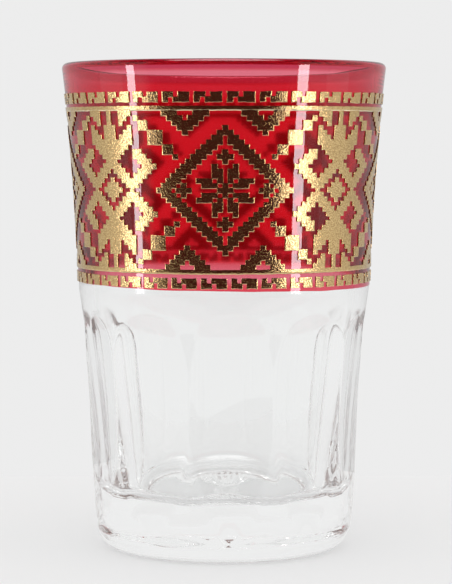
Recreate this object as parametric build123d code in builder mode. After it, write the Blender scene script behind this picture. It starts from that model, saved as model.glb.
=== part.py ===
from build123d import *
import math
import os

# A tea glass: a heavy pressed tumbler with ten flutes, a red band fired onto its upper wall,
# and a gold band of stepped cross-stitch ornament printed over the red.
# Sizes are in millimetres and angles in degrees. The glass stands on Z = 0, centred on the Z
# axis, and the middle of one gold medallion faces -Y.

# Sizes of the glass
glass_height = 93.2
rim_radius = 31.0
rim_wall = 2.0
flare_curve = 400.0
band_foot_radius = 28.0
shoulder_gap = 1.0
shoulder_height = 7.0
shoulder_rounding = 9.0
waist_radius = 27.0
foot_radius = 24.85
foot_rounding = 4.4

# Sizes of the hollow inside
floor_height = 10.5
floor_rounding = 3.5
floor_wall = 5.45
waist_wall = 2.7

# Sizes of the flutes pressed into the lower wall
flute_count = 10
flute_turn = 2.7
flute_foot_height = 19.0
flute_top_drop = 1.7
flute_foot_land = 1.0
flute_top_land = 2.4
flute_ridge_bite = 0.12
flute_foot_run_out = 9.0
flute_top_run_out = 6.0
flute_reach = 11.0

# Sizes of the underside
hollow_foot_radius = 17.0
hollow_foot_depth = 1.2

# Sizes of the two printed layers
red_thickness = 0.1
gold_thickness = 0.15
red_margin = 0.5

# Sizes of the stitches that the ornament is drawn on
pattern_drop = 23.7
repeats = 4
stitches_per_repeat = 48
stitch_height = 0.872
field_rows = 33
rail_height = 0.9
key_gap = 0.72
key_row_height = 0.9
key_pitch = 6
key_length = 5
upper_key_turn = 0.35
lower_key_turn = 1.3

# Sizes of each motif, in stitches from its middle
half_stitch = 0.5
diamond_reach = 13.5
opening_reach = 10.5
opening_side = 8.0
star_reach = 5.5
star_inner = 0.5
star_outer = 2.5
small_cross_row = 7.0
small_cross_reach = 1.7
pendant_column = 7.5
pendant_reach = 4.5
pendant_depth = 5.0
window_reach = 1.5
window_depth = 2.0
chain_squares = [2, 3, 2]
chain_column = 10.0
chain_row = 7.5
chain_overlap = 0.1
heart_reach = 2.5
ring_reach = 4.5
arm_width = 3.0
hook_row = 5.0
hook_top_row = 8.5
wing_reach = 5.5
wing_foot_row = 10.0
wing_top_row = 13.5
neck_reach = 1.5
shaft_reach = 0.5
rail_step_reach = 3.0

# Radii, and heights measured up from the table
lip_radius = rim_wall / 2
lip_height = glass_height - lip_radius
hollow_floor_radius = foot_radius - floor_wall
hollow_waist_radius = waist_radius - waist_wall
pattern_height = glass_height - pattern_drop
field_half = field_rows / 2 * stitch_height
key_height = 2 * key_row_height
upper_rail_foot = pattern_height + field_half
upper_key_foot = upper_rail_foot + rail_height + key_gap
lower_rail_foot = pattern_height - field_half - rail_height
lower_key_foot = lower_rail_foot - key_gap - key_height
red_foot = lower_key_foot - red_margin
shoulder_top = red_foot - shoulder_gap
waist_height = shoulder_top - shoulder_height
flute_top_height = waist_height - flute_top_drop
stitch_angle = 360 / repeats / stitches_per_repeat
front_angle = -90


def flare_radius(height):
    """Outer radius of the flared wall, which is one arc from the shoulder up to the lip."""
    foot = Vector(band_foot_radius, shoulder_top)
    rim = Vector(rim_radius, lip_height)
    chord = rim - foot
    sag = math.sqrt(flare_curve**2 - (chord.length / 2) ** 2)
    centre = (foot + rim) / 2 + Vector(chord.Y, -chord.X).normalized() * sag
    return centre.X - math.sqrt(flare_curve**2 - (height - centre.Y) ** 2)


def flare_arc(lift, low, high):
    """A stretch of the flared wall's arc, moved outwards by lift."""
    heights = [low, (low + high) / 2, high]
    return ThreePointArc(*[(flare_radius(height) + lift, height) for height in heights])


def strip_section(low, high):
    """The section of a gold strip on the red band, so low that its flare is straight."""
    inner = red_thickness
    outer = red_thickness + gold_thickness
    with BuildSketch(Plane.XZ) as section:
        Polygon(
            (flare_radius(low) + inner, low),
            (flare_radius(low) + outer, low),
            (flare_radius(high) + outer, high),
            (flare_radius(high) + inner, high),
        )
    return section.sketch


def skin_section(lift, thickness, low, high):
    """The section of a thin skin that lies on the flared wall."""
    with BuildSketch(Plane.XZ) as section:
        with BuildLine():
            near = flare_arc(lift, low, high)
            far = flare_arc(lift + thickness, low, high)
            Line(near @ 0, far @ 0)
            Line(near @ 1, far @ 1)
        make_face()
    return section.sketch


def taper_radius(height):
    """Outer radius of the tapered lower wall before the flutes are pressed into it."""
    share = (height - foot_rounding) / (waist_height - foot_rounding)
    return foot_radius + (waist_radius - foot_radius) * share


def flute_radius(height, land):
    """Distance of a flute's flat from the axis where it leaves this width of land beside it."""
    wall = taper_radius(height)
    half_pitch = math.pi / flute_count
    return wall * math.cos(half_pitch - land / 2 / wall)


# Flute cutter: a slightly hollow flat that runs out of the wall in a long scoop at each end
flute_middle = (flute_foot_height + flute_top_height) / 2
with BuildPart() as flute_cutter:
    with BuildSketch(Plane.XZ):
        with BuildLine():
            flat = ThreePointArc(
                (flute_radius(flute_foot_height, flute_foot_land), flute_foot_height),
                (flute_radius(flute_middle, 0) - flute_ridge_bite, flute_middle),
                (flute_radius(flute_top_height, flute_top_land), flute_top_height),
            )
            top = JernArc(flat @ 1, flat % 1, flute_top_run_out, -75)
            foot = JernArc(flat @ 0, (flat % 0) * -1, flute_foot_run_out, 75)
            outside = rim_radius + flute_foot_run_out
            Polyline(top @ 1, (outside, (top @ 1).Y), (outside, (foot @ 1).Y), foot @ 1)
        make_face()
    extrude(amount=flute_reach, both=True)

# Glass body
with BuildPart() as glass_body:
    with BuildSketch(Plane.XZ) as wall_section:
        with BuildLine():
            wall = flare_arc(0, shoulder_top, lip_height)
            Line(wall @ 0, (waist_radius, waist_height))
            Polyline(
                (waist_radius, waist_height),
                (taper_radius(0), 0),
                (0, 0),
                (0, floor_height),
                (hollow_floor_radius, floor_height),
            )
            inside = ThreePointArc(
                (hollow_floor_radius, floor_height),
                (hollow_waist_radius, waist_height),
                (rim_radius - rim_wall, lip_height),
            )
            ThreePointArc(inside @ 1, (rim_radius - lip_radius, glass_height), wall @ 1)
        make_face()
        roundings = {
            (waist_radius, waist_height): shoulder_rounding,
            (band_foot_radius, shoulder_top): shoulder_rounding,
            (taper_radius(0), 0): foot_rounding,
            (hollow_floor_radius, floor_height): floor_rounding,
        }
        for corner, rounding in roundings.items():
            fillet(wall_section.vertices().sort_by_distance(corner)[0], rounding)
    revolve(axis=Axis.Z)
    with PolarLocations(0, flute_count, start_angle=front_angle + flute_turn):
        add(flute_cutter.part, mode=Mode.SUBTRACT)
    with BuildSketch():
        Circle(hollow_foot_radius)
    extrude(amount=hollow_foot_depth, mode=Mode.SUBTRACT, taper=45)

# Red band
with BuildPart() as red_band:
    add(skin_section(0, red_thickness, red_foot, lip_height))
    revolve(axis=Axis.Z)

# Gold rails above and below the ornament
with BuildPart() as upper_rail:
    add(strip_section(upper_rail_foot, upper_rail_foot + rail_height))
    revolve(axis=Axis.Z)

with BuildPart() as lower_rail:
    add(strip_section(lower_rail_foot, lower_rail_foot + rail_height))
    revolve(axis=Axis.Z)

# Gold skin that the motifs are cut from
with BuildPart() as gold_field:
    add(skin_section(red_thickness, gold_thickness, lower_rail_foot + rail_height, upper_rail_foot))
    revolve(axis=Axis.Z)

gold_radius = flare_radius(pattern_height) + red_thickness + gold_thickness
motif_plane = Plane((0, 0, pattern_height), x_dir=(1, 0, 0), z_dir=(0, -1, 0))
motif_depth = 2 * rim_radius


def across(column):
    """Distance of a column edge from the middle of its motif, seen square on."""
    return gold_radius * math.sin(math.radians(column * stitch_angle))


def spot(column, row):
    """The place of a stitch corner in a motif's sketch."""
    return (across(column), row * stitch_height)


def block(left, right, low, high):
    """A rectangle of stitches between two column edges and two row edges."""
    Polygon(spot(left, low), spot(right, low), spot(right, high), spot(left, high))


def lozenge(reach, mode=Mode.ADD):
    """A diamond of stitches about the middle of its motif."""
    Polygon(spot(reach, 0), spot(0, reach), spot(-reach, 0), spot(0, -reach), mode=mode)


def mirror_quarter():
    """Repeats the upper right quarter of a motif to the left and below."""
    mirror(about=Plane.YZ)
    mirror(about=Plane.XZ)


# Diamond frame, filled a little in its two side corners
with BuildPart() as diamond_frame:
    with BuildSketch(motif_plane):
        lozenge(diamond_reach)
        side_row = opening_reach - opening_side
        Polygon(
            spot(0, opening_reach),
            spot(-opening_side, side_row),
            spot(-opening_side, -side_row),
            spot(0, -opening_reach),
            spot(opening_side, -side_row),
            spot(opening_side, side_row),
            mode=Mode.SUBTRACT,
        )
    extrude(amount=motif_depth)
    add(gold_field.part, mode=Mode.INTERSECT)

# Star of eight bars in the middle of the diamond
with BuildPart() as star:
    with BuildSketch(motif_plane):
        block(star_inner, star_outer, star_inner, star_reach)
        block(star_inner, star_reach, star_inner, star_outer)
        block(0, 2 * star_inner, 0, star_inner)
        block(0, star_inner, 0, 2 * star_inner)
        mirror_quarter()
    extrude(amount=motif_depth)
    add(gold_field.part, mode=Mode.INTERSECT)

# Small crosses above and below the star
with BuildPart() as small_cross_pair:
    with BuildSketch(motif_plane):
        Polygon(
            spot(small_cross_reach, small_cross_row),
            spot(0, small_cross_row + small_cross_reach),
            spot(-small_cross_reach, small_cross_row),
            spot(0, small_cross_row - small_cross_reach),
        )
        mirror(about=Plane.XZ)
    extrude(amount=motif_depth)
    add(gold_field.part, mode=Mode.INTERSECT)

# Stair chains of squares that climb from the diamond to the rails
with BuildPart() as stair_chain_set:
    with BuildSketch(motif_plane):
        column = chain_column
        row = chain_row
        for size in chain_squares:
            far_column = column + size
            far_row = row + size
            block(
                column - chain_overlap,
                far_column + chain_overlap,
                row - chain_overlap,
                far_row + chain_overlap,
            )
            column = far_column
            row = far_row
        mirror_quarter()
    extrude(amount=motif_depth)
    add(gold_field.part, mode=Mode.INTERSECT)


def pendant_outline(rail_row, apex_row, window_row):
    """A triangle on a rail, with a small window against the rail."""
    return Polygon(
        spot(pendant_column - pendant_reach, rail_row),
        spot(pendant_column - window_reach, rail_row),
        spot(pendant_column, window_row),
        spot(pendant_column + window_reach, rail_row),
        spot(pendant_column + pendant_reach, rail_row),
        spot(pendant_column, apex_row),
    )


# Pendants: triangles that hang from the upper rail and stand on the lower one
rail_row = field_rows / 2
with BuildPart() as upper_pendant_pair:
    with BuildSketch(motif_plane):
        pendant_outline(rail_row, rail_row - pendant_depth, rail_row - window_depth)
        mirror(about=Plane.YZ)
    extrude(amount=motif_depth)
    add(gold_field.part, mode=Mode.INTERSECT)

with BuildPart() as lower_pendant_pair:
    with BuildSketch(motif_plane):
        pendant_outline(-rail_row, pendant_depth - rail_row, window_depth - rail_row)
        mirror(about=Plane.YZ)
    extrude(amount=motif_depth)
    add(gold_field.part, mode=Mode.INTERSECT)

# Totem: crossed arms that curl into hooks, with a winged body above and below
arm_reach = ring_reach + 2 * half_stitch
eye_column = (ring_reach + arm_reach) / 2
eye_foot_row = arm_width - half_stitch
neck_row = arm_width + ring_reach - neck_reach
hook_inner_column = arm_reach + hook_row - arm_width
with BuildPart() as totem:
    with BuildSketch(motif_plane):
        Polygon(
            spot(0, ring_reach),
            spot(ring_reach, 0),
            spot(arm_reach, 0),
            spot(arm_reach + hook_row, hook_row),
            spot(arm_reach + hook_row, hook_row + half_stitch),
            spot(arm_reach + 2 * hook_row + half_stitch - hook_top_row, hook_top_row),
            spot(arm_reach, hook_top_row),
            spot(arm_reach, hook_row + half_stitch + hook_inner_column - arm_reach),
            spot(hook_inner_column, hook_row + half_stitch / 2),
            spot(eye_column, eye_foot_row),
            spot(neck_reach, neck_row),
            spot(wing_reach, wing_foot_row),
            spot(wing_reach, wing_top_row),
            spot(wing_reach - wing_top_row + wing_foot_row + half_stitch, wing_foot_row + half_stitch),
            spot(neck_reach, wing_foot_row + half_stitch),
            spot(neck_reach, wing_top_row),
            spot(shaft_reach, wing_top_row),
            spot(shaft_reach, rail_row),
            spot(0, rail_row),
        )
        mirror_quarter()
    extrude(amount=motif_depth)
    add(gold_field.part, mode=Mode.INTERSECT)

# Heart: the small diamond in the middle of a totem
with BuildPart() as heart:
    with BuildSketch(motif_plane):
        lozenge(heart_reach)
    extrude(amount=motif_depth)
    add(gold_field.part, mode=Mode.INTERSECT)

# Rail steps: corners of gold on the rails beside a totem's shaft
with BuildPart() as rail_step_set:
    with BuildSketch(motif_plane):
        near = wing_reach - rail_step_reach
        Polygon(spot(near, rail_row), spot(wing_reach, rail_row), spot(near, rail_row - rail_step_reach))
        mirror_quarter()
    extrude(amount=motif_depth)
    add(gold_field.part, mode=Mode.INTERSECT)

# One dash of each key border
key_arc = key_length * stitch_angle
with BuildPart() as upper_key:
    add(strip_section(upper_key_foot, upper_key_foot + key_height))
    revolve(axis=Axis.Z, revolution_arc=key_arc)

with BuildPart() as lower_key:
    add(strip_section(lower_key_foot, lower_key_foot + key_height))
    revolve(axis=Axis.Z, revolution_arc=key_arc)


def around(motif, count, turn):
    """The same motif repeated evenly around the glass, the first one turned by this angle."""
    with BuildPart() as ring:
        with PolarLocations(0, count, start_angle=turn):
            add(motif.part)
    return ring.part


half_repeat = 180 / repeats
key_count = round(repeats * stitches_per_repeat / key_pitch)
pieces = {
    "glass_body": glass_body.part,
    "red_band": red_band.part,
    "upper_rail": upper_rail.part,
    "lower_rail": lower_rail.part,
    "diamond_frames": around(diamond_frame, repeats, 0),
    "stars": around(star, repeats, 0),
    "small_crosses": around(small_cross_pair, repeats, 0),
    "stair_chains": around(stair_chain_set, repeats, 0),
    "upper_pendants": around(upper_pendant_pair, repeats, 0),
    "lower_pendants": around(lower_pendant_pair, repeats, 0),
    "totems": around(totem, repeats, half_repeat),
    "totem_hearts": around(heart, repeats, half_repeat),
    "rail_steps": around(rail_step_set, repeats, half_repeat),
    "upper_key_border": around(upper_key, key_count, front_angle + upper_key_turn * stitch_angle),
    "lower_key_border": around(lower_key, key_count, front_angle + lower_key_turn * stitch_angle),
}

os.makedirs("parts", exist_ok=True)
for name, piece in pieces.items():
    piece.label = name
    export_step(piece, f"parts/{name}.step")
    print(name, len(piece.solids()), "solids", round(piece.volume, 2), "mm3")
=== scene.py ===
# %% [markdown]
# # A Moroccan tea glass
#
# A tea glass like this is one heavy piece of pressed glass. Its foot is thick, its lower wall has ten
# flat flutes, and its upper wall flares out to the lip. A transparent red layer is fired onto the flare,
# and raised gold is printed over the red in a pattern that copies cross-stitch embroidery.
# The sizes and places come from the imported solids, which are loaded first and stay where they are.

# %% Load the solids
import math
import bmesh
import bpy
from mathutils import Matrix, Vector, noise


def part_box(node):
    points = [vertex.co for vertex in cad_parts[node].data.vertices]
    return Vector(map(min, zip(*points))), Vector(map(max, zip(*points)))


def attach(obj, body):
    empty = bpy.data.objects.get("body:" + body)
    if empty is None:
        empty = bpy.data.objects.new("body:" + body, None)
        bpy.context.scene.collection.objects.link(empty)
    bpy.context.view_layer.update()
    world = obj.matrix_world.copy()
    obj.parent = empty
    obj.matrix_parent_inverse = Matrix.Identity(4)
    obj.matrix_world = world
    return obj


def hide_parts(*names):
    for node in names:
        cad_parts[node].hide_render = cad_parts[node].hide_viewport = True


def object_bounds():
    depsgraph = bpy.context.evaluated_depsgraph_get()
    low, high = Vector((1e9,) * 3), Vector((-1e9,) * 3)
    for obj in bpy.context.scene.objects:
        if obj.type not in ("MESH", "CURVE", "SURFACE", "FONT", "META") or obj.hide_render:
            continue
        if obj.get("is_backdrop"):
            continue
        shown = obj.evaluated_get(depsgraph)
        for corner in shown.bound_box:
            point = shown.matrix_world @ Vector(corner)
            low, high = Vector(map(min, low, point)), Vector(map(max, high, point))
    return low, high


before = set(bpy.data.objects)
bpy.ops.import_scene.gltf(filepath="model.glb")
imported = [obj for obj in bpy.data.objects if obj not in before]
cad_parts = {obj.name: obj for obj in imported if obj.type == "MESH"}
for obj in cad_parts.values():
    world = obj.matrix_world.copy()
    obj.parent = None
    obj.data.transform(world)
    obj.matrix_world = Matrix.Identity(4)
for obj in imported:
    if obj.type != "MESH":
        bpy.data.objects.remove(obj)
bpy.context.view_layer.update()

mm = 0.001
scene = bpy.context.scene
print("solids:", sorted(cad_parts))

# %% [markdown]
# ## The camera
#
# The photograph was taken from just above the table, with a long lens, and almost square on to one of
# the gold medallions. The rim curves up and the foot curves down, so the eye is between them, a little
# below the lip. The camera could be aimed at a target by a constraint, but one place and two turns are
# easier to read, and they keep the verticals as the photograph has them.

# %% Place the camera
camera_distance = 450 * mm
camera_height = 79.35 * mm
camera_azimuth = math.radians(-0.47)
camera_tilt = math.radians(3.83)
camera_turn = math.radians(-0.05)
camera_lens = 143.6
film_width = 36
nearest_seen = 10 * mm
farthest_seen = 20

camera = bpy.data.objects.new("camera", bpy.data.cameras.new("camera"))
scene.collection.objects.link(camera)
camera.location = (
    math.sin(camera_azimuth) * camera_distance,
    -math.cos(camera_azimuth) * camera_distance,
    camera_height,
)
camera.rotation_euler = (math.pi / 2 - camera_tilt, 0, camera_azimuth + camera_turn)
camera.data.lens = camera_lens
camera.data.sensor_width = film_width
camera.data.clip_start = nearest_seen
camera.data.clip_end = farthest_seen
scene.camera = camera
print("camera", round(camera_distance / mm), "mm from the axis and", camera_height / mm, "mm up")

# %% [markdown]
# ## Where the layers are
#
# Everything else is measured from the solids: the height and rim of the glass, the red band's edges,
# and the two gold rails that the pattern hangs between. Sizes could be typed in again, but measured ones
# follow the solids when those change.

# %% Measure the solids
glass_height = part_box("glass_body")[1].z
rim_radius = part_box("glass_body")[1].x
red_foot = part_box("red_band")[0].z
lip_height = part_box("red_band")[1].z
red_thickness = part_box("red_band")[1].x - rim_radius
upper_rail_foot, upper_rail_top = [corner.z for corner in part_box("upper_rail")]
lower_rail_foot, lower_rail_top = [corner.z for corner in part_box("lower_rail")]
print("red from", round(red_foot / mm, 1), "to", round(lip_height / mm, 1), "mm")
print("rails from", round(lower_rail_foot / mm, 1), "to", round(upper_rail_top / mm, 1), "mm")

# %% [markdown]
# The flare is one large arc, so its radius at any height is a short formula, and the red and the gold
# both lie on it. A curve object could hold the same line, but a formula can be asked about any height.

# %% Curve of the flare
bare_glass = 1 * mm
shoulder_rise = 7 * mm
shoulder_top = red_foot - bare_glass
waist_height = shoulder_top - shoulder_rise
band_foot_radius = 28.0 * mm
flare_curve = 400 * mm


def arc_radius(height, low, high, curve):
    """Radius at a height on an arc between two places, hollow from outside, or from inside if negative."""
    low, high = Vector(low), Vector(high)
    chord = high - low
    sag = math.sqrt(curve**2 - (chord.length / 2) ** 2)
    centre = (low + high) / 2 + Vector((chord.y, -chord.x)).normalized() * math.copysign(sag, curve)
    return centre.x - math.copysign(math.sqrt(curve**2 - (height - centre.y) ** 2), curve)


def flare_radius(height):
    """Outer radius of the flared wall, one arc from the shoulder up to the lip."""
    return arc_radius(height, (band_foot_radius, shoulder_top), (rim_radius, lip_height), flare_curve)


for name, height in [("foot of the red", red_foot), ("lip", lip_height)]:
    print("radius at the", name, round(flare_radius(height) / mm, 2), "mm")

# %% [markdown]
# ## The glass body
#
# A pressed glass is round before its flutes are pressed in, so half of its section is drawn as a flat
# outline and spun about the axis. The outline starts as a few corners with straight sides between them.
# A lathe-like Screw modifier would spin it too, but the flutes have to be pressed into the mesh later.

# %% Corners of half the glass
waist_radius = 27.0 * mm
foot_radius = 24.85 * mm
foot_rounding = 4.4 * mm
lip_radius = 1 * mm
floor_height = 10.5 * mm
hollow_floor_radius = 19.4 * mm
recess_radius = 17 * mm
recess_depth = 1.2 * mm


def taper_radius(height):
    """Outer radius of the lower wall before its flutes are pressed."""
    share = (height - foot_rounding) / (waist_height - foot_rounding)
    return foot_radius + (waist_radius - foot_radius) * share


body = bmesh.new()
outline = {
    "foot_middle": (0, recess_depth),
    "recess_floor": (recess_radius - recess_depth, recess_depth),
    "recess_edge": (recess_radius, 0),
    "foot": (taper_radius(0), 0),
    "waist": (waist_radius, waist_height),
    "shoulder": (band_foot_radius, shoulder_top),
    "red_foot": (flare_radius(red_foot), red_foot),
    "lip_outside": (rim_radius, lip_height),
    "lip_outer_top": (rim_radius, glass_height),
    "lip_inner_top": (rim_radius - 2 * lip_radius, glass_height),
    "lip_inside": (rim_radius - 2 * lip_radius, lip_height),
    "hollow_floor": (hollow_floor_radius, floor_height),
    "floor_middle": (0, floor_height),
}
body.faces.new([body.verts.new((radius, 0, height)) for radius, height in outline.values()])
print("outline of", len(body.verts), "corners")

# %% [markdown]
# Two of the straight sides are really long arcs: the flare outside, and the wall of the hollow inside,
# which bulges a little. Each side is cut into short steps, and the new points move out onto its arc.

# %% Bend the long sides
hollow_curve = -771 * mm
flare_step = 1.5 * mm
hollow_step = 4 * mm


def divide(bm, edge, step):
    """Cuts a long edge into steps of about this length and returns the new vertices."""
    cuts = int(edge.calc_length() / step)
    made = bmesh.ops.subdivide_edges(bm, edges=[edge], cuts=cuts)
    return [item for item in made["geom_inner"] if isinstance(item, bmesh.types.BMVert)]


def nearest(bm, place):
    """The vertex of an outline nearest to a radius and height."""
    return min(bm.verts, key=lambda vertex: (vertex.co - Vector((place[0], 0, place[1]))).length)


def edge_between(bm, first, second):
    """The edge of an outline that joins two places."""
    start, end = nearest(bm, first), nearest(bm, second)
    return next(edge for edge in start.link_edges if edge.other_vert(start) == end)


flare_side = edge_between(body, outline["red_foot"], outline["lip_outside"])
for vertex in divide(body, flare_side, flare_step):
    vertex.co.x = flare_radius(vertex.co.z)
hollow_side = edge_between(body, outline["hollow_floor"], outline["lip_inside"])
for vertex in divide(body, hollow_side, hollow_step):
    vertex.co.x = arc_radius(vertex.co.z, outline["hollow_floor"], outline["lip_inside"], hollow_curve)
print("outline of", len(body.verts), "points with its long arcs")

# %% [markdown]
# Molten glass leaves no sharp corner. Bevelling a corner of the outline rounds it with a true arc, which is
# how the shoulder, the foot, the lip and the floor inside get their curves. The lip is rounded from both
# sides by a hair less than half its width, so that the two arcs never meet in one point.

# %% Round the corners
shoulder_rounding = 9 * mm
band_rounding = 0.7 * shoulder_rounding
floor_rounding = 3.5 * mm
recess_rounding = 0.6 * mm
lip_share = 0.99
lip_segments = 6


def round_corner(bm, place, radius, segments):
    """Rounds the corner of an outline at this place with an arc of this radius."""
    vertex = nearest(bm, place)
    first, second = [edge.other_vert(vertex).co - vertex.co for edge in vertex.link_edges]
    turn = math.pi - first.angle(second)
    bmesh.ops.bevel(
        bm,
        geom=[vertex],
        offset=radius * math.tan(turn / 2),
        offset_type="OFFSET",
        segments=segments,
        profile=0.5,
        affect="VERTICES",
        material=-1,
    )


for name, radius, segments in [
    ("recess_floor", recess_rounding, 3),
    ("recess_edge", recess_rounding, 3),
    ("foot", foot_rounding, 14),
    ("waist", shoulder_rounding, 6),
    ("shoulder", band_rounding, 4),
    ("lip_outer_top", lip_share * lip_radius, lip_segments),
    ("lip_inner_top", lip_share * lip_radius, lip_segments),
    ("hollow_floor", floor_rounding, 14),
]:
    round_corner(body, outline[name], radius, segments)
print("outline of", len(body.verts), "points before it is divided")

# %% [markdown]
# The straight runs are then divided, finely where the flutes will be pressed and coarsely elsewhere, and
# the outline is turned so that one ridge between two flutes falls on it. The steps of the spin are a
# multiple of the flutes, so every ridge falls on a row of vertices and stays crisp.

# %% Spin the glass
flute_count = 10
steps_per_flute = 32
spin_steps = flute_count * steps_per_flute
flute_turn = math.radians(2.7)
front = math.radians(-90)
flute_pitch = 2 * math.pi / flute_count
ridge = front + flute_turn + flute_pitch / 2
fine_step = 0.6 * mm
coarse_step = 1.6 * mm
skin_depth = 0.3 * mm
weld = 0.0005 * mm


def spin_round(bm, steps):
    """Spins an outline once round the axis and joins its end to its start."""
    bmesh.ops.spin(
        bm,
        geom=bm.verts[:] + bm.edges[:],
        cent=(0, 0, 0),
        axis=(0, 0, 1),
        angle=2 * math.pi,
        steps=steps,
        use_merge=True,
    )


axis_edge = edge_between(body, outline["foot_middle"], outline["floor_middle"])
bmesh.ops.delete(body, geom=body.faces[:], context="FACES_ONLY")
body.edges.remove(axis_edge)
for edge in body.edges[:]:
    middle = (edge.verts[0].co + edge.verts[1].co) / 2
    fluted = middle.z < shoulder_top and middle.x > taper_radius(middle.z) - skin_depth
    divide(body, edge, fine_step if fluted else coarse_step)
bmesh.ops.rotate(body, verts=body.verts[:], cent=(0, 0, 0), matrix=Matrix.Rotation(ridge, 3, "Z"))
spin_round(body, spin_steps)
bmesh.ops.remove_doubles(body, verts=body.verts[:], dist=weld)
bmesh.ops.recalc_face_normals(body, faces=body.faces[:])
print("spun glass:", len(body.verts), "vertices")

# %% [markdown]
# ## The flutes
#
# A flute is a flat, very slightly hollow panel. It leaves a drop-shaped land between itself and its
# neighbour at the top and narrows that land to a sharp ridge half way down. It leaves the wall in a short
# scoop at the top and in a long fade at the foot. Its distance from the axis is a function of height.

# %% Shape of a flute
flute_foot = 19 * mm
flute_top = waist_height - 1.5 * mm
flute_foot_land = 1.0 * mm
flute_top_land = 2.4 * mm
flute_bite = 0.12 * mm
foot_run_out = 250 * mm
top_run_out = 12 * mm
flute_middle = (flute_foot + flute_top) / 2


def panel_distance(height, land):
    """Distance of a panel from the axis where it leaves this width of land beside it."""
    wall = taper_radius(height)
    return wall * math.cos(flute_pitch / 2 - land / 2 / wall)


panel_foot = panel_distance(flute_foot, flute_foot_land)
panel_top = panel_distance(flute_top, flute_top_land)
panel_middle = panel_distance(flute_middle, 0) - flute_bite


def scoop(distance, run_out):
    """How far the end of a panel has curved out after this distance, on an arc of this radius."""
    distance = min(max(distance, 0), run_out)
    return run_out - math.sqrt(run_out**2 - distance**2)


def panel_depth(height):
    """Distance of the pressed panel from the axis at this height, with its scooped ends."""
    share = (height - flute_foot) / (flute_top - flute_foot)
    straight = panel_foot + (panel_top - panel_foot) * share
    hollow = panel_middle - (panel_foot + panel_top) / 2
    bow = share * (1 - share) if share > 0 else share
    bowed = straight + hollow * 4 * bow
    return bowed + scoop(height - flute_top, top_run_out) + scoop(flute_foot - height, foot_run_out)


for name, height in [("foot", flute_foot), ("middle", flute_middle), ("top", flute_top)]:
    print("flute at its", name, round(panel_depth(height) / mm, 2), "mm from the axis")

# %% [markdown]
# A boolean cut would leave long thin triangles that show in glass, so each vertex of the wall is pressed in
# to the panel instead, wherever the panel lies deeper than the wall. The ridges are rounded over by a tenth
# of a millimetre, as fire polishing does.

# %% Press the flutes
ridge_softness = 0.12 * mm


def soft_least(first, second, softness):
    """The lesser of two lengths, rounded over where they are alike."""
    blend = max(softness - abs(first - second), 0) / softness
    return min(first, second) - blend * blend * softness / 4


pressed = 0
for vertex in body.verts:
    radius = vertex.co.xy.length
    height = vertex.co.z
    outside = radius > taper_radius(height) - skin_depth
    if not (outside and foot_rounding < height < shoulder_top):
        continue
    angle = math.atan2(vertex.co.y, vertex.co.x) - front - flute_turn
    off_middle = (angle + flute_pitch / 2) % flute_pitch - flute_pitch / 2
    panel = panel_depth(height) / math.cos(off_middle)
    deepest = soft_least(radius, panel, ridge_softness)
    vertex.co.xy *= deepest / radius
    pressed += deepest < radius
print("pressed", pressed, "vertices into", flute_count, "flutes")

# %% [markdown]
# ## The foot
#
# Looking down through the foot one sees fine rays, which the mould leaves under the glass so that it does
# not stick to a wet tray. Each ray is a V-shaped groove that gets wider and deeper outwards, so the recess
# floor is folded up and down round the axis, in proportion to the distance from it.

# %% Fold the recess floor
hair = 0.01 * mm
ray_count = 40
ray_depth = 1.8 * mm
ray_inner = 3 * mm
ray_outer = recess_radius - 1.2 * recess_depth
ray_fade = 1 * mm

for vertex in body.verts:
    radius = vertex.co.xy.length
    if abs(vertex.co.z - recess_depth) < hair and ray_inner < radius < ray_outer:
        turn = (math.atan2(vertex.co.y, vertex.co.x) - ridge) * ray_count / (2 * math.pi)
        fold = abs(2 * (turn % 1) - 1)
        fade = min(radius - ray_inner, ray_outer - radius, ray_fade) / ray_fade
        vertex.co.z += ray_depth * fade * fold * radius / ray_outer
print(ray_count, "rays under the foot")

# %% [markdown]
# The foot itself was set down while it was still soft, so it is not as true as the rest. A little noise
# pushes its skin in here and there, and the thick glass turns that into the glints seen at the base.
# A Displace modifier would do it too, but the noise has to fade out above the foot and under it.

# %% Crinkle the foot
crinkle_top = 8 * mm
crinkle_fade = 3 * mm
crinkle_foot = 2 * mm
crinkle_depth = 0.5 * mm
crinkle_size = 7 * mm

body.normal_update()
crinkled = 0
for vertex in body.verts:
    if vertex.co.z < crinkle_top and vertex.co.xy.length > recess_radius:
        share = min((crinkle_top - vertex.co.z) / crinkle_fade, vertex.co.z / crinkle_foot, 1)
        push = 0.5 + 0.5 * noise.noise(vertex.co / crinkle_size)
        vertex.co -= vertex.normal * crinkle_depth * share * push
        crinkled += 1
print("crinkled", crinkled, "vertices of the foot")

# %% [markdown]
# ## From a bmesh to a piece
#
# Every piece ends the same way: the bmesh becomes an object at the origin, its faces are smooth, it rides
# on the one body that the glass has, and the solids it stands for are hidden. Edges that turn sharply stay
# sharp, so that the small steps of the gold are not shaded as if they were round.

# %% How a piece is finished
sharp_angle = math.radians(50)


def finish_piece(name, bm, materials, slot, *nodes):
    """Turns a bmesh into a named piece that stands for these solids."""
    for face in bm.faces:
        face.smooth = True
    mesh = bpy.data.meshes.new(name)
    bm.to_mesh(mesh)
    bm.free()
    for material in materials:
        mesh.materials.append(material)
    mesh.set_sharp_from_angle(angle=sharp_angle)
    piece = bpy.data.objects.new(name, mesh)
    scene.collection.objects.link(piece)
    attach(piece, "root")
    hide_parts(*nodes)
    print(name, len(mesh.polygons), "faces")


print("edges of more than", round(math.degrees(sharp_angle)), "degrees stay sharp")

# %% [markdown]
# The glass has two finishes, because light passes differently where the red covers it. The red's lower edge
# is not quite true: it leans to one side and wanders by tenths of a millimetre. The row of vertices at that
# edge is moved onto the wandering line, so that glass and red meet along it without a gap.

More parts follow.
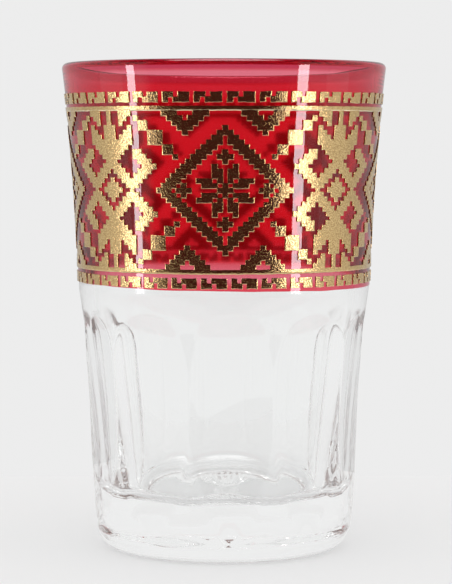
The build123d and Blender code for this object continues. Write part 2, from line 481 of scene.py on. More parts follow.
# %% Finish the glass body
clear_glass = bpy.data.materials.new("clear_glass")
glass_under_red = bpy.data.materials.new("glass_under_red")
red_edge_wander = 0.18 * mm
red_edge_lean = 0.4 * mm
red_edge_waves = 4
red_reach = 0.1 * mm


def red_edge(vertex):
    """Height of the red layer's wandering lower edge, in the direction of a vertex."""
    around = vertex.co.xy.normalized()
    wander = noise.noise(Vector((around.x, around.y, 0)) * red_edge_waves)
    return red_foot + red_edge_wander * wander - red_edge_lean * around.x


def lift_of(face):
    """How far a face lies outside the flare and the outer half of the lip."""
    middle = face.calc_center_median()
    lip_middle = rim_radius - lip_radius
    if middle.z < lip_height:
        return middle.xy.length - flare_radius(middle.z)
    if middle.xy.length < lip_middle:
        return -lip_radius
    return math.hypot(middle.xy.length - lip_middle, middle.z - lip_height) - lip_radius


for face in body.faces:
    above = face.calc_center_median().z > red_foot
    face.material_index = int(above and lift_of(face) > -red_reach)
for vertex in body.verts:
    if abs(vertex.co.z - red_foot) < hair and vertex.co.xy.length > waist_radius:
        vertex.co.z = red_edge(vertex)
finish_piece("tea_glass", body, [clear_glass, glass_under_red], "clear_glass", "glass_body")

# %% [markdown]
# ## The red layer
#
# The red is a thin stain on the outside of the flare, and it runs up over the lip. It could be painted on
# the glass itself, but then it would have no edge. So it is a thin closed shell: a few corners in section,
# with the long sides bent onto the flare and the lip's corners rounded, spun like the glass.

# %% Spin the red shell
bond_depth = 0.02 * mm

shell = bmesh.new()
red_outline = {
    "foot_outside": (flare_radius(red_foot) + red_thickness, red_foot),
    "lip_outside": (rim_radius + red_thickness, lip_height),
    "corner_outside": (rim_radius + red_thickness, glass_height + red_thickness),
    "top_outside": (rim_radius - lip_radius, glass_height + red_thickness),
    "top_bond": (rim_radius - lip_radius, glass_height - bond_depth),
    "corner_bond": (rim_radius - bond_depth, glass_height - bond_depth),
    "lip_bond": (rim_radius - bond_depth, lip_height),
    "foot_bond": (flare_radius(red_foot) - bond_depth, red_foot),
}
shell.faces.new([shell.verts.new((radius, 0, height)) for radius, height in red_outline.values()])
for face_name, lift in [("outside", red_thickness), ("bond", -bond_depth)]:
    long_side = edge_between(shell, red_outline["foot_" + face_name], red_outline["lip_" + face_name])
    for vertex in divide(shell, long_side, flare_step):
        vertex.co.x = flare_radius(vertex.co.z) + lift
for face_name, lift in [("outside", red_thickness), ("bond", -bond_depth)]:
    round_corner(shell, red_outline["corner_" + face_name], lip_share * (lip_radius + lift), lip_segments)
bmesh.ops.delete(shell, geom=shell.faces[:], context="FACES_ONLY")
spin_round(shell, spin_steps)
bmesh.ops.recalc_face_normals(shell, faces=shell.faces[:])
print("red shell:", len(shell.verts), "vertices")

# %% [markdown]
# The shell's lower edge takes the same wandering line as the glass. Its outer face shows the red, and the
# face that is bonded to the glass gets a finish of its own, which lets light pass unchanged.

# %% Finish the red layer
red_stain = bpy.data.materials.new("red_stain")
red_bond = bpy.data.materials.new("red_bond")

for vertex in shell.verts:
    if vertex.co.z < red_foot + hair:
        vertex.co.z = red_edge(vertex)
for face in shell.faces:
    face.material_index = int(lift_of(face) < red_thickness / 2)
finish_piece("red_layer", shell, [red_stain, red_bond], "red_stain", "red_band")

# %% [markdown]
# ## Gold stitches
#
# The pattern is drawn on a grid like embroidery canvas, 48 stitches to each quarter of the glass and 33
# rows high. A motif is a rule that says which stitches are gold. An image could mask the gold too, but only
# a mesh has the thickness that catches the light.

# %% Stitch sizes
stitches_around = 192
field_rows = 33
stitch_angle = 2 * math.pi / stitches_around
stitch_height = (upper_rail_foot - lower_rail_top) / field_rows
pattern_height = (upper_rail_foot + lower_rail_top) / 2
gold_radius = flare_radius(pattern_height) + red_thickness
stitch_width = gold_radius * stitch_angle
print("stitches of", round(stitch_width / mm, 3), "by", round(stitch_height / mm, 3), "mm")

# %% [markdown]
# The sheet for a motif is a plain grid whose lines come in pairs, one on each side of every seam between
# stitches, so that the gold spreads a little over the seams, as paste does, and stitches that meet only at
# a corner run together. Squares that are not gold are deleted. Gold that reaches the first or last row is
# carried on under the rail there.

# %% Sheet of stitches
spread = 0.09
rail_tuck = 0.25 * mm


def stitches_at(strip, first):
    """The stitches that a strip of the grid belongs to: both sides of a seam, or one stitch."""
    if strip % 2:
        return [first + strip // 2]
    return [first + strip // 2 - 1, first + strip // 2]


def grid_line(line, first):
    """Where a line of the grid lies, in stitches: the lines come in pairs about each seam."""
    return first - 0.5 + line // 2 + (spread if line % 2 else -spread)


def stitch_sheet(is_gold, columns, rows):
    """A flat sheet of the stitches that a rule picks from these columns and rows."""
    bm = bmesh.new()
    first_column, last_column = columns
    first_row, last_row = rows
    across = 2 * (last_column - first_column) + 3
    up = 2 * (last_row - first_row) + 3
    bmesh.ops.create_grid(bm, x_segments=across, y_segments=up, size=1)
    bmesh.ops.translate(bm, verts=bm.verts[:], vec=(1, 1, 0))
    bmesh.ops.scale(bm, verts=bm.verts[:], vec=(across / 2, up / 2, 1))
    bare = []
    for face in bm.faces:
        middle = face.calc_center_median()
        gold = any(
            is_gold(column, row)
            for column in stitches_at(int(middle.x), first_column)
            for row in stitches_at(int(middle.y), first_row)
        )
        if not gold:
            bare.append(face)
    bmesh.ops.delete(bm, geom=bare, context="FACES")
    for vertex in bm.verts:
        vertex.co.x = grid_line(round(vertex.co.x), first_column) * stitch_width
        vertex.co.y = grid_line(round(vertex.co.y), first_row) * stitch_height
        if abs(vertex.co.y) > field_rows / 2 * stitch_height:
            vertex.co.y += math.copysign(rail_tuck, vertex.co.y)
    return bm


print("gold spreads", round(spread * stitch_width / mm, 3), "mm over each seam")

# %% [markdown]
# A flat sheet becomes raised gold when it gets its thickness and its edges are rounded. The lower edges are
# rounded most, as if the paste had sagged before it was fired. They catch the light, so their finish is a
# paler, brighter gold, a painted highlight on top of what the bevel mirrors. The underside, seen through the
# glass, gets a third.
# Bevels come while the sheet is still flat, because then it is easy to say which edge faces down.

# %% Raise a sheet
gold_height = 0.2 * mm
gold_sink = 0.05 * mm
gold_bevel = 0.24 * mm
side_bevel = 0.03 * mm
squarely = 0.9
wall_tilt = 0.1
rim_tilt = 0.2


def round_rims(bm, facing, offset, segments):
    """Rounds the raised rims whose side faces this way."""
    rims = [
        edge
        for edge in bm.edges
        if all(vertex.co.z > 0 for vertex in edge.verts)
        and any(abs(face.normal.z) < wall_tilt and facing(face.normal) for face in edge.link_faces)
    ]
    bmesh.ops.bevel(
        bm,
        geom=rims,
        offset=offset,
        offset_type="OFFSET",
        segments=segments,
        profile=0.5,
        affect="EDGES",
        clamp_overlap=True,
        material=-1,
    )


def raise_gold(bm):
    """Gives a flat sheet its thickness, rounds all but its upper rims and sets the finish of each face."""
    bmesh.ops.solidify(bm, geom=bm.faces[:], thickness=gold_height + gold_sink)
    bmesh.ops.recalc_face_normals(bm, faces=bm.faces[:])
    top = max(vertex.co.z for vertex in bm.verts)
    bmesh.ops.translate(bm, verts=bm.verts[:], vec=(0, 0, gold_height - top))
    for face in bm.faces:
        face.material_index = int(face.normal.z < -squarely)
    round_rims(bm, lambda normal: abs(normal.x) > squarely, side_bevel, 1)
    bm.normal_update()
    round_rims(bm, lambda normal: normal.y < -squarely, gold_bevel, 2)
    bm.normal_update()
    # Faces of the rounded lower rims take the third finish, a paler gold that is a painted highlight on a
    # real bevel.
    for face in bm.faces:
        if face.normal.y < -rim_tilt and face.normal.z > wall_tilt:
            face.material_index = 2


print("gold", gold_height / mm, "mm high, its lower rims rounded by", gold_bevel / mm, "mm")

# %% [markdown]
# Then the raised sheet is wrapped round the flare: sideways becomes an angle, up becomes a height, and
# thickness becomes distance from the wall. A Shrinkwrap modifier would press it flat. Its edges wander a
# little, as no print is quite true. That noise has a fixed seed, so every run makes the same edges.

# %% Wrap a sheet
gold_wander = 0.07 * mm
wander_scale = 1.1 / mm
wander_seed = 7
noise.seed_set(wander_seed)


def wrap(bm, angle, height, edge_wander=gold_wander):
    """Wraps a flat sheet round the red layer, about this angle from the front and this height."""
    for vertex in bm.verts:
        place = Vector((vertex.co.x + angle, vertex.co.y + height, 0)) * wander_scale
        wander = noise.noise_vector(place) + noise.noise_vector(place * 3) / 2
        across = vertex.co.x + wander.x * edge_wander
        up = height + vertex.co.y + wander.y * edge_wander
        radius = flare_radius(up) + red_thickness + vertex.co.z
        turn = front + angle + across / gold_radius
        vertex.co = (radius * math.cos(turn), radius * math.sin(turn), up)


def merge(target, bm):
    """Adds one bmesh to another."""
    mesh = bpy.data.meshes.new("motif")
    bm.to_mesh(mesh)
    bm.free()
    target.from_mesh(mesh)
    bpy.data.meshes.remove(mesh)


def repeat_around(bm, count):
    """Repeats what is in a bmesh evenly around the glass."""
    bmesh.ops.spin(
        bm,
        geom=bm.verts[:] + bm.edges[:] + bm.faces[:],
        cent=(0, 0, 0),
        axis=(0, 0, 1),
        angle=2 * math.pi * (count - 1) / count,
        steps=count - 1,
        use_duplicate=True,
    )
    bmesh.ops.recalc_face_normals(bm, faces=bm.faces[:])


print("gold lies", round(gold_radius / mm, 2), "mm from the axis and wanders by", gold_wander / mm, "mm")

# %% [markdown]
# ## The motifs
#
# A motif could be a list of its stitches, but a rule is shorter and shows how the motif is composed. Each
# rule counts stitches from the middle of its motif, so most need only the distance to the side and the
# distance up. The diamond is a ring two stitches wide, and the star inside it is four pairs of bars.

# %% Rules for the diamond
def diamond_rule(column, row):
    side, rise = abs(column), abs(row)
    inner = max(11 - rise, 1) if rise <= 11 else 0
    return inner <= side <= 13 - rise or abs(side - 8) + rise <= 1


def star_rule(column, row):
    low, high = sorted((abs(column), abs(row)))
    bar = low in (1, 2) and low + 1 <= high <= low + 3
    return bar or low + high <= 1


def cross_rule(column, row):
    return abs(column) + abs(abs(row) - 7) <= 1


def count_stitches(*rules):
    """Prints how many stitches of the field each rule turns to gold."""
    field = range(-(field_rows // 2), field_rows // 2 + 1)
    for rule in rules:
        print(rule.__name__, sum(rule(column, row) for column in field for row in field), "stitches")


count_stitches(diamond_rule, star_rule, cross_rule)

# %% [markdown]
# The totem between two diamonds has crossed arms, hooks, a body with wings, and a shaft that reaches the
# rails. A small heart fills its middle, and steps on the rails stand at both sides of its shaft.

# %% Rules for the totem
def totem_rule(column, row):
    side, rise = abs(column), abs(row)
    if rise <= 5:
        eye = rise >= 3 and 8 - rise <= side <= rise + 2
        return max(5 - rise, 0) <= side <= 5 + rise and not eye
    body = rise <= 10 and side <= rise - 5
    hook = rise <= 8 and max(13 - rise, 6) <= side <= 15 - rise
    wing = 11 <= rise <= 13 and rise - 8 <= side <= 5
    neck = 11 <= rise <= 13 and side <= 1
    shaft = 14 <= rise <= 16 and side == 0
    return body or hook or wing or neck or shaft


def heart_rule(column, row):
    return abs(column) + abs(row) <= 2


def rail_step_rule(column, row):
    return abs(row) <= 16 and 3 <= abs(column) <= abs(row) - 11


count_stitches(totem_rule, heart_rule, rail_step_rule)

# %% [markdown]
# Diamonds, stars and crosses face the front and the three other quarters. Totems, hearts and rail steps
# stand half way between them. Each is made once, wrapped, and then repeated for the four quarters.

# %% Make the motifs of the field
gold_print = bpy.data.materials.new("gold_print")
gold_under_red = bpy.data.materials.new("gold_under_red")
gold_rim_highlight = bpy.data.materials.new("gold_rim_highlight")
gold_sides = [gold_print, gold_under_red, gold_rim_highlight]
quarters = 4
between = math.pi / quarters

for name, node, rule, reach, rise, angle in [
    ("gold_diamonds", "diamond_frames", diamond_rule, 13, 13, 0),
    ("gold_stars", "stars", star_rule, 5, 5, 0),
    ("gold_crosses", "small_crosses", cross_rule, 1, 8, 0),
    ("gold_totems", "totems", totem_rule, 10, 16, between),
    ("gold_hearts", "totem_hearts", heart_rule, 2, 2, between),
    ("gold_rail_steps", "rail_steps", rail_step_rule, 5, 16, between),
]:
    motif = stitch_sheet(rule, (-reach, reach), (-rise, rise))
    raise_gold(motif)
    wrap(motif, angle, pattern_height)
    repeat_around(motif, quarters)
    finish_piece(name, motif, gold_sides, "gold_print", node)

# %% [markdown]
# Pendants hang from the upper rail and stand on the lower one. A pendant is a triangle of stitches with a
# small hollow at the rail. The lower ones are made by turning the flat sheet over.

# %% Make the pendants
pendant_column = 7.5


def pendant_rule(column, row):
    drop = 16 - row
    inside = 0 <= drop <= 4 and abs(column) <= 4 - drop
    return inside and abs(column) > 1 - drop


for name, node, rise in [
    ("gold_upper_pendants", "upper_pendants", 1),
    ("gold_lower_pendants", "lower_pendants", -1),
]:
    pair = bmesh.new()
    for side in (-1, 1):
        pendant = stitch_sheet(pendant_rule, (-4, 4), (12, 16))
        bmesh.ops.scale(pendant, verts=pendant.verts[:], vec=(1, rise, 1))
        raise_gold(pendant)
        wrap(pendant, side * pendant_column * stitch_angle, pattern_height)
        merge(pair, pendant)
    repeat_around(pair, quarters)
    finish_piece(name, pair, gold_sides, "gold_print", node)

# %% [markdown]
# Stair chains climb from the corners of each diamond: squares of several sizes that touch at their corners.
# One rule makes all four, by turning the flat sheet over to each side.

# %% Make the stair chains
chain_column = 9.5
chain_row = 7


def chain_rule(column, row):
    steps = [0, 1, 3, 6, 8, 9]
    return any(low <= column < high and low <= row < high for low, high in zip(steps, steps[1:]))


chains = bmesh.new()
for side in (-1, 1):
    for rise in (-1, 1):
        chain = stitch_sheet(chain_rule, (0, 8), (0, 8))
        bmesh.ops.scale(chain, verts=chain.verts[:], vec=(side, rise, 1))
        raise_gold(chain)
        wrap(chain, side * chain_column * stitch_angle, pattern_height + rise * chain_row * stitch_height)
        merge(chains, chain)
repeat_around(chains, quarters)
finish_piece("gold_chains", chains, gold_sides, "gold_print", "stair_chains")

# %% [markdown]
# ## Rails and key borders
#
# A rail is a plain raised line all round. It could be a row of stitches too, but a section that is spun has
# no seams. Its lower corner is rounded like the lower edges of the motifs and takes their painted highlight.

# %% Make the rails
rail_proud = 0.01 * mm
rail_under = red_thickness - gold_sink
rail_over = red_thickness + gold_height + rail_proud
rim_steepest = -0.95
rim_flattest = -0.3

for name, node, foot, top in [
    ("gold_upper_rail", "upper_rail", upper_rail_foot, upper_rail_top),
    ("gold_lower_rail", "lower_rail", lower_rail_foot, lower_rail_top),
]:
    rail = bmesh.new()
    shelf = foot + 2 * gold_bevel
    section = [
        (flare_radius(foot) + rail_under, foot),
        (flare_radius(foot) + rail_over, foot),
        (flare_radius(shelf) + rail_over, shelf),
        (flare_radius(top) + rail_over, top),
        (flare_radius(top) + rail_under, top),
    ]
    rail.faces.new([rail.verts.new((radius, 0, height)) for radius, height in section])
    round_corner(rail, section[1], gold_bevel, 3)
    bmesh.ops.delete(rail, geom=rail.faces[:], context="FACES_ONLY")
    spin_round(rail, 2 * stitches_around)
    bmesh.ops.recalc_face_normals(rail, faces=rail.faces[:])
    rail.normal_update()
    for vertex in rail.verts:
        vertex.co.z += noise.noise(vertex.co * wander_scale) * gold_wander
    for face in rail.faces:
        # Rounded faces of a rail's lower corner take the paler gold, a painted highlight.
        rounded = rim_steepest < face.normal.z < rim_flattest
        face.material_index = 1 if lift_of(face) < red_thickness else 2 * rounded
    finish_piece(name, rail, gold_sides, "gold_print", node)

# %% [markdown]
# Outside each rail runs a border of small hooked keys, the lower one turned over. They are the roughest part
# of the print, and no two are alike, so each key is wrapped by itself and wanders in its own way.

# %% Make the key borders
key_pitch = 6
key_count = stitches_around // key_pitch
key_wander = 0.12 * mm
upper_key_start = 0.35
lower_key_start = 1.3


def key_rule(column, row):
    rows = {0: (0, 2, 3, 4), 1: (0, 1, 3, 4)}
    return column in rows.get(row, ())


for name, node, start, turned in [
    ("gold_upper_keys", "upper_key_border", upper_key_start, 1),
    ("gold_lower_keys", "lower_key_border", lower_key_start, -1),
]:
    keys = bmesh.new()
    low, high = [corner.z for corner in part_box(node)]
    stretch = turned * (high - low) / 2 / stitch_height
    for number in range(key_count):
        key = stitch_sheet(key_rule, (0, 4), (0, 1))
        bmesh.ops.translate(key, verts=key.verts[:], vec=(0, -stitch_height / 2, 0))
        bmesh.ops.scale(key, verts=key.verts[:], vec=(1, stretch, 1))
        raise_gold(key)
        wrap(key, (start + 0.5 + number * key_pitch) * stitch_angle, (low + high) / 2, key_wander)
        merge(keys, key)
    bmesh.ops.recalc_face_normals(keys, faces=keys.faces[:])
    finish_piece(name, keys, gold_sides, "gold_print", node)

# %% [markdown]
# ## Materials
#
# No pressed or fired surface is quite even. One node group makes that unevenness for every finish here: it
# is told how fine the waves are and how deep, and gives a bent normal for the shader and a mottle from 0 to
# 1 to mix colours and roughness by. A copy in each material would work, but a group is mended in one place.

# %% Uneven surface group
mottle_low = 0.35
mottle_high = 0.65


def level_of(nodes, links, value, start, end, low, high):
    """A value carried from one range to another."""
    ramp = nodes.new("ShaderNodeMapRange")
    for name, number in [("From Min", start), ("From Max", end), ("To Min", low), ("To Max", high)]:
        ramp.inputs[name].default_value = number
    links.new(value, ramp.inputs["Value"])
    return ramp.outputs["Result"]


uneven = bpy.data.node_groups.new("uneven_surface", "ShaderNodeTree")
for name in ("Scale", "Detail", "Depth"):
    uneven.interface.new_socket(name, in_out="INPUT", socket_type="NodeSocketFloat")
uneven.interface.new_socket("Mottle", in_out="OUTPUT", socket_type="NodeSocketFloat")
uneven.interface.new_socket("Normal", in_out="OUTPUT", socket_type="NodeSocketVector")
given = uneven.nodes.new("NodeGroupInput")
result = uneven.nodes.new("NodeGroupOutput")
place = uneven.nodes.new("ShaderNodeTexCoord")
waves = uneven.nodes.new("ShaderNodeTexNoise")
bump = uneven.nodes.new("ShaderNodeBump")
uneven.links.new(place.outputs["Object"], waves.inputs["Vector"])
uneven.links.new(given.outputs["Scale"], waves.inputs["Scale"])
uneven.links.new(given.outputs["Detail"], waves.inputs["Detail"])
uneven.links.new(waves.outputs["Fac"], bump.inputs["Height"])
uneven.links.new(given.outputs["Depth"], bump.inputs["Distance"])
uneven.links.new(bump.outputs["Normal"], result.inputs["Normal"])
mottle = level_of(uneven.nodes, uneven.links, waves.outputs["Fac"], mottle_low, mottle_high, 0, 1)
uneven.links.new(mottle, result.inputs["Mottle"])
print(uneven.name, "group of", len(uneven.nodes), "nodes")

# %% [markdown]
# Where the red layer is bonded to the glass there is no step in refraction, so nothing is seen there. Both
# sides of the bond get a refraction of 1 and no colour, and the red tints light only at its outer face.

# %% The bond under the red
no_tint = (1, 1, 1)
no_step = 1.0


def shader_of(material):
    """The nodes, links and main shader of a material."""
    material.use_nodes = True
    tree = material.node_tree
    return tree.nodes, tree.links, tree.nodes["Principled BSDF"]


def set_glass(material, colour, refraction):
    """Makes a material clear glass of this tint and refraction."""
    nodes, links, shader = shader_of(material)
    shader.inputs["Base Color"].default_value = (*colour, 1)
    shader.inputs["Roughness"].default_value = 0
    shader.inputs["IOR"].default_value = refraction
    shader.inputs["Transmission Weight"].default_value = 1
    return nodes, links, shader


for material in (glass_under_red, red_bond):
    set_glass(material, no_tint, no_step)
    print(material.name, "lets light pass unchanged")

# %% [markdown]
# Clear glass is the shader's own transmission with the refraction of soda-lime glass, and a very shallow,
# long wave from the mould. In the photograph the far side of the pattern looks soft through the near wall,
# so the inside of the flare is given a slight haze. The haze grows between the waist and the red, and fades
# out again below the lip, where the far rim is seen sharp.

# %% Clear glass
glass_tint = (0.99, 0.995, 0.993)
soda_lime = 1.5
mould_wave = 8 * mm
mould_wave_depth = 0.02 * mm
haze = 0.12
lip_haze = 0.02
haze_top = glass_height - 4 * mm
haze_fade = 3 * mm


def add_uneven(nodes, links, shader, size, depth, detail=0.0):
    """Bends a shader's normal by waves of this size and depth, and returns their mottle."""
    group = nodes.new("ShaderNodeGroup")
    group.node_tree = uneven
    for name, value in [("Scale", 1 / size), ("Detail", detail), ("Depth", depth)]:
        group.inputs[name].default_value = value
    links.new(group.outputs["Normal"], shader.inputs["Normal"])
    return group.outputs["Mottle"]


def height_of(nodes, links):
    """The height of the shaded place above the table."""
    place = nodes.new("ShaderNodeTexCoord")
    split = nodes.new("ShaderNodeSeparateXYZ")
    links.new(place.outputs["Object"], split.inputs[0])
    return split.outputs["Z"]


nodes, links, shader = set_glass(clear_glass, glass_tint, soda_lime)
add_uneven(nodes, links, shader, mould_wave, mould_wave_depth)
height = height_of(nodes, links)
hazed = nodes.new("ShaderNodeMath")
hazed.operation = "MINIMUM"
grown = level_of(nodes, links, height, waist_height, red_foot, 0, haze)
faded = level_of(nodes, links, height, haze_top - haze_fade, haze_top, haze, lip_haze)
links.new(grown, hazed.inputs[0])
links.new(faded, hazed.inputs[1])
links.new(hazed.outputs[0], shader.inputs["Roughness"])
print(clear_glass.name, "hazed up to", round(haze_top / mm, 1), "mm")

# %% [markdown]
# The stain is a deep red, mottled a little where the layer varies. It is paler in a strip above its lower
# edge and in another above the upper keys. A colour ramp over its height, from 0 at the foot to 1 at the
# lip, says where. A painted mask could say it too, but would need the layer to be unwrapped.

# %% Colour of the red stain
red_deep = (0.745, 0.008, 0.0158)
red_deeper = (0.705, 0.0066, 0.0132)
red_pale = (0.77, 0.045, 0.08)
stain_wave = 9 * mm
stain_wave_depth = 0.04 * mm
pale_strips = [(0.02, 0), (0.05, 1), (0.14, 0), (0.89, 0), (0.91, 1), (0.945, 1), (0.96, 0)]


def mixed(nodes, links, factor, first, second):
    """A colour between two others, which are results of nodes, colours or plain grey levels."""
    mix = nodes.new("ShaderNodeMix")
    mix.data_type = "RGBA"
    links.new(factor, mix.inputs["Factor"])
    colours = [socket for socket in mix.inputs if socket.type == "RGBA"]
    for socket, value in zip(colours, (first, second)):
        if isinstance(value, bpy.types.NodeSocket):
            links.new(value, socket)
        elif isinstance(value, tuple):
            socket.default_value = (*value, 1)
        else:
            socket.default_value = (value, value, value, 1)
    return next(socket for socket in mix.outputs if socket.type == "RGBA")


nodes, links, shader = set_glass(red_stain, red_deep, soda_lime)
mottle = add_uneven(nodes, links, shader, stain_wave, stain_wave_depth)
stain = mixed(nodes, links, mottle, red_deep, red_deeper)
height = height_of(nodes, links)
# The red is paler in two strips over the height; the ramp gives 1 where it is paler.
pale = nodes.new("ShaderNodeValToRGB")
links.new(level_of(nodes, links, height, red_foot, glass_height, 0, 1), pale.inputs["Fac"])
for place, share in pale_strips:
    stop = pale.color_ramp.elements.new(place)
    stop.color = (share, share, share, 1)
pale.color_ramp.elements.remove(pale.color_ramp.elements[0])
pale.color_ramp.elements.remove(pale.color_ramp.elements[-1])
stain = mixed(nodes, links, pale.outputs["Color"], stain, red_pale)
print(red_stain.name, "of", len(nodes), "nodes so far")

# %% [markdown]
# The stain looks darker where it is seen at a slant, through more of it, and where it is rolled over the
# lip. One thing here is not physical: light that has met many faces inside the wall is tinted less and
# less. Otherwise the red and the gold's underside would smudge the clear glass, which the photograph does
# not show.

# %% Slant, lip and spent light
red_slanted = (0.40, 0.002, 0.012)
red_rolled = (0.38, 0.003, 0.012)
red_spent = (0.86, 0.75, 0.78)
slant_start, slant_end, slant_share = 0.1, 0.55, 0.85
roll_start = lip_height - 1.2 * mm
roll_end = lip_height - 0.5 * mm
roll_share = 0.95
spent_start, spent_end = 7.2, 8.4


def spent_of(nodes, links):
    """How far light has lost itself in the wall: 0 until it has met many faces, then 1."""
    path = nodes.new("ShaderNodeLightPath")
    return level_of(nodes, links, path.outputs["Ray Depth"], spent_start, spent_end, 0, 1)


edge_on = nodes.new("ShaderNodeLayerWeight")
slant = level_of(nodes, links, edge_on.outputs["Facing"], slant_start, slant_end, 0, slant_share)
stain = mixed(nodes, links, slant, stain, red_slanted)
rolled = level_of(nodes, links, height, roll_start, roll_end, 0, roll_share)
stain = mixed(nodes, links, rolled, stain, red_rolled)
stain = mixed(nodes, links, spent_of(nodes, links), stain, red_spent)
links.new(stain, shader.inputs["Base Color"])
print(red_stain.name, "of", len(nodes), "nodes")

# %% [markdown]
# Gold comes in three finishes, all of them metal. The print itself is rough with fine grain, which breaks
# up what it mirrors. Its lower rims are smoother and paler, and the paler colour is a painted highlight. Its
# underside is seen only through the red, so it is a dark red metal, and its tint fades for spent light as
# the stain's does.

# %% Gold
under_light = (0.38, 0.006, 0.008)
under_dark = (0.28, 0.004, 0.005)
under_spent = (0.74, 0.66, 0.67)
print_dark = (0.57, 0.385, 0.17)
print_light = (0.81, 0.585, 0.28)
# The paler gold of the lower rims is a painted highlight where they catch the light.
rim_highlight_dark = (0.86, 0.68, 0.42)
rim_highlight_light = (1.0, 0.90, 0.68)
grain = 0.3 * mm
grain_depth = 0.064 * mm
worn_depth = 0.02 * mm
under_grain = 0.8 * mm
under_rough, rim_highlight_rough = 0.35, 0.2
print_rough, print_smooth = 0.18, 0.08


def set_gold(material, roughness, size, depth, detail, first, second):
    """Makes a material uneven metal, mottled between two colours."""
    nodes, links, shader = shader_of(material)
    shader.inputs["Metallic"].default_value = 1
    shader.inputs["Roughness"].default_value = roughness
    mottle = add_uneven(nodes, links, shader, size, depth, detail)
    colour = mixed(nodes, links, mottle, first, second)
    links.new(colour, shader.inputs["Base Color"])
    print(material.name, "with grain of", round(size / mm, 1), "mm")
    return nodes, links, shader, mottle, colour


nodes, links, shader, mottle, colour = set_gold(
    gold_under_red, under_rough, under_grain, worn_depth, 2, under_light, under_dark
)
colour = mixed(nodes, links, spent_of(nodes, links), colour, under_spent)
links.new(colour, shader.inputs["Base Color"])

nodes, links, shader, mottle, colour = set_gold(
    gold_print, print_rough, grain, grain_depth, 3, print_dark, print_light
)
rough = level_of(nodes, links, mottle, 0, 1, print_rough, print_smooth)
links.new(rough, shader.inputs["Roughness"])

# Lower rims: shallower grain, and a paler colour that is a painted highlight.
set_gold(gold_rim_highlight, rim_highlight_rough, grain, worn_depth, 3, rim_highlight_dark, rim_highlight_light)

# %% [markdown]
# ## The table and the light
#
# The glass stands on a pale table. The table glows a little, as a white sheet lit from below does, so that
# it looks as bright as the tent behind it, and it still takes the shadow of the glass. It ends close in
# front of the glass, so that gold facing the camera mirrors the dark there and not the table.

# %% Table
table_top = -0.05 * mm
table_half_width = 900 * mm
table_front = -150 * mm
table_back = 92 * mm
table_half_depth = (table_back - table_front) / 2
table_grey = (0.285, 0.285, 0.285)
table_glow = 0.53
table_roughness = 0.6

table = bmesh.new()
bmesh.ops.create_grid(table, x_segments=1, y_segments=1, size=1)
bmesh.ops.scale(table, verts=table.verts[:], vec=(table_half_width, table_half_depth, 1))
bmesh.ops.translate(table, verts=table.verts[:], vec=(0, table_front + table_half_depth, table_top))
table_mesh = bpy.data.meshes.new("table")
table.to_mesh(table_mesh)
table.free()
table_object = bpy.data.objects.new("table", table_mesh)
scene.collection.objects.link(table_object)
table_paint = bpy.data.materials.new("table_paint")
nodes, links, shader = shader_of(table_paint)
shader.inputs["Base Color"].default_value = (*table_grey, 1)
shader.inputs["Emission Color"].default_value = (1, 1, 1, 1)
shader.inputs["Emission Strength"].default_value = table_glow
shader.inputs["Roughness"].default_value = table_roughness
shader.inputs["Specular IOR Level"].default_value = 0
table_mesh.materials.append(table_paint)
table_object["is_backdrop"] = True
print("table from", round(table_front / mm), "to", round(table_back / mm), "mm")

# %% [markdown]
# Round the table stands a white light tent, open on the photographer's side, which is why gold that faces
# the camera looks almost black. Walls of cloth could be modelled, but the world can say the same with less:
# the direction of a ray gives its bearing from the front, and the bearing says whether it meets the opening.

# %% Bearings in the tent
world = bpy.data.worlds.new("tent")
scene.world = world
world.use_nodes = True
nodes, links = world.node_tree.nodes, world.node_tree.links
background = nodes["Background"]


def world_math(operation, first, second=None):
    """A math node of the world, on the results of other nodes or on plain numbers."""
    node = nodes.new("ShaderNodeMath")
    node.operation = operation
    for socket, value in zip(node.inputs, (first, second)):
        if isinstance(value, bpy.types.NodeSocket):
            links.new(value, socket)
        elif value is not None:
            socket.default_value = value
    return node.outputs[0]


direction = nodes.new("ShaderNodeTexCoord")
split = nodes.new("ShaderNodeSeparateXYZ")
links.new(direction.outputs["Generated"], split.inputs[0])
rising = split.outputs["Z"]
aside = world_math("ABSOLUTE", split.outputs["X"])
toward = world_math("MULTIPLY", split.outputs["Y"], -1)
bearing = world_math("ARCTAN2", aside, toward)
print("world", world.name, "of", len(nodes), "nodes so far")

# %% [markdown]
# What a ray sees of the tent depends on how it got there. The camera sees plain white cloth. Gold mirrors
# grey cloth, the dark opening and a lamp overhead. Light through glass finds the tent nearly as bright as
# the background, with an opening only a little darker. All else is lit by an even glow, stronger in front.

# %% Light of the tent
tent_white = 0.845
tent_mirrored = 0.6
tent_dark = (0.042, 0.001, 0.001)
tent_in_glass = 0.86
opening_in_glass = 0.78
opening_start = math.radians(52)
opening_end = math.radians(64)
front_glow = 1.45
back_glow = 0.9
glow_reach = 0.6
roof_start, roof_end = 0.6, 0.8
lamp_start, lamp_end = 0.92, 0.95
lamp_overhead = 5


def world_ramp(value, start, end, low, high):
    """A smooth step of the world from one level to another."""
    level = level_of(nodes, links, value, start, end, low, high)
    level.node.interpolation_type = "SMOOTHSTEP"
    return level


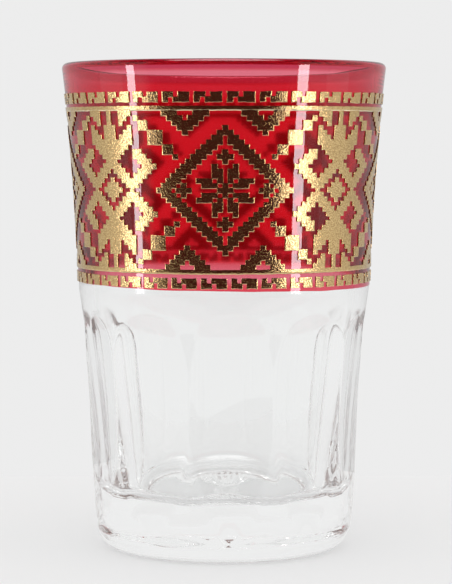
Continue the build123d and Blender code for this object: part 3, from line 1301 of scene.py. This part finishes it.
path = nodes.new("ShaderNodeLightPath")
glow = world_ramp(toward, -glow_reach, glow_reach, back_glow, front_glow)
opened = world_ramp(bearing, opening_start, opening_end, 1, 0)
roof = world_ramp(rising, roof_start, roof_end, 0, 1)
overhead = world_ramp(rising, lamp_start, lamp_end, 0, lamp_overhead)
mirrored = mixed(nodes, links, opened, tent_mirrored, tent_dark)
mirrored = mixed(nodes, links, roof, mirrored, overhead)
through = mixed(nodes, links, opened, tent_in_glass, opening_in_glass)
lit = world_math("MINIMUM", path.outputs["Diffuse Depth"], 1)
level = mixed(nodes, links, path.outputs["Is Camera Ray"], glow, tent_white)
level = mixed(nodes, links, path.outputs["Is Glossy Ray"], level, mirrored)
level = mixed(nodes, links, path.outputs["Is Transmission Ray"], level, through)
level = mixed(nodes, links, lit, level, glow)
links.new(level, background.inputs["Color"])
print("tent open for", round(2 * math.degrees(opening_start)), "degrees in front")

# %% [markdown]
# Two strip lamps, to the left and right of the camera, give the two white lines down the red. They are only
# mirrored: they are hidden from the camera and from light through the glass, and do not light the table.

# %% Strip lamps
strip_distance = 300 * mm
strip_foot = 14 * mm
strip_top = 74 * mm
strip_radiance = 12
strip_colour = (1, 0.93, 0.98)

for name, angle, width in [
    ("left_strip", math.radians(-66), 33 * mm),
    ("right_strip", math.radians(54.5), 42 * mm),
]:
    lamp = bpy.data.lights.new(name, "AREA")
    lamp.shape = "RECTANGLE"
    lamp.color = strip_colour
    lamp.size = width
    lamp.size_y = strip_top - strip_foot
    lamp.energy = strip_radiance * math.pi * lamp.size * lamp.size_y
    strip = bpy.data.objects.new(name, lamp)
    scene.collection.objects.link(strip)
    strip.location = (
        math.sin(angle) * strip_distance,
        -math.cos(angle) * strip_distance,
        (strip_foot + strip_top) / 2,
    )
    strip.rotation_euler = (math.pi / 2, 0, angle)
    strip.visible_diffuse = False
    strip.visible_camera = False
    strip.visible_transmission = False
    print(name, round(width / mm), "mm wide,", round(lamp.energy, 3), "W")

# %% [markdown]
# Colours are shown as they are written, with the Standard view. Light in thick glass is mirrored many times
# before it leaves, so it is followed for many bounces. With few, the flutes and the foot would turn black.

# %% View and bounces
light_bounces = 128

scene.view_settings.view_transform = "Standard"
scene.cycles.max_bounces = light_bounces
scene.cycles.transmission_bounces = light_bounces
scene.cycles.glossy_bounces = light_bounces
print("light followed for", light_bounces, "bounces")

# %% [markdown]
# ## Sizes
#
# The finished glass has to be as large as its solids. The box of the finished pieces is printed here.

# %% Sizes and the end
low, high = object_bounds()
print("visual box", [round(value / mm, 2) for value in (*low, *high)])
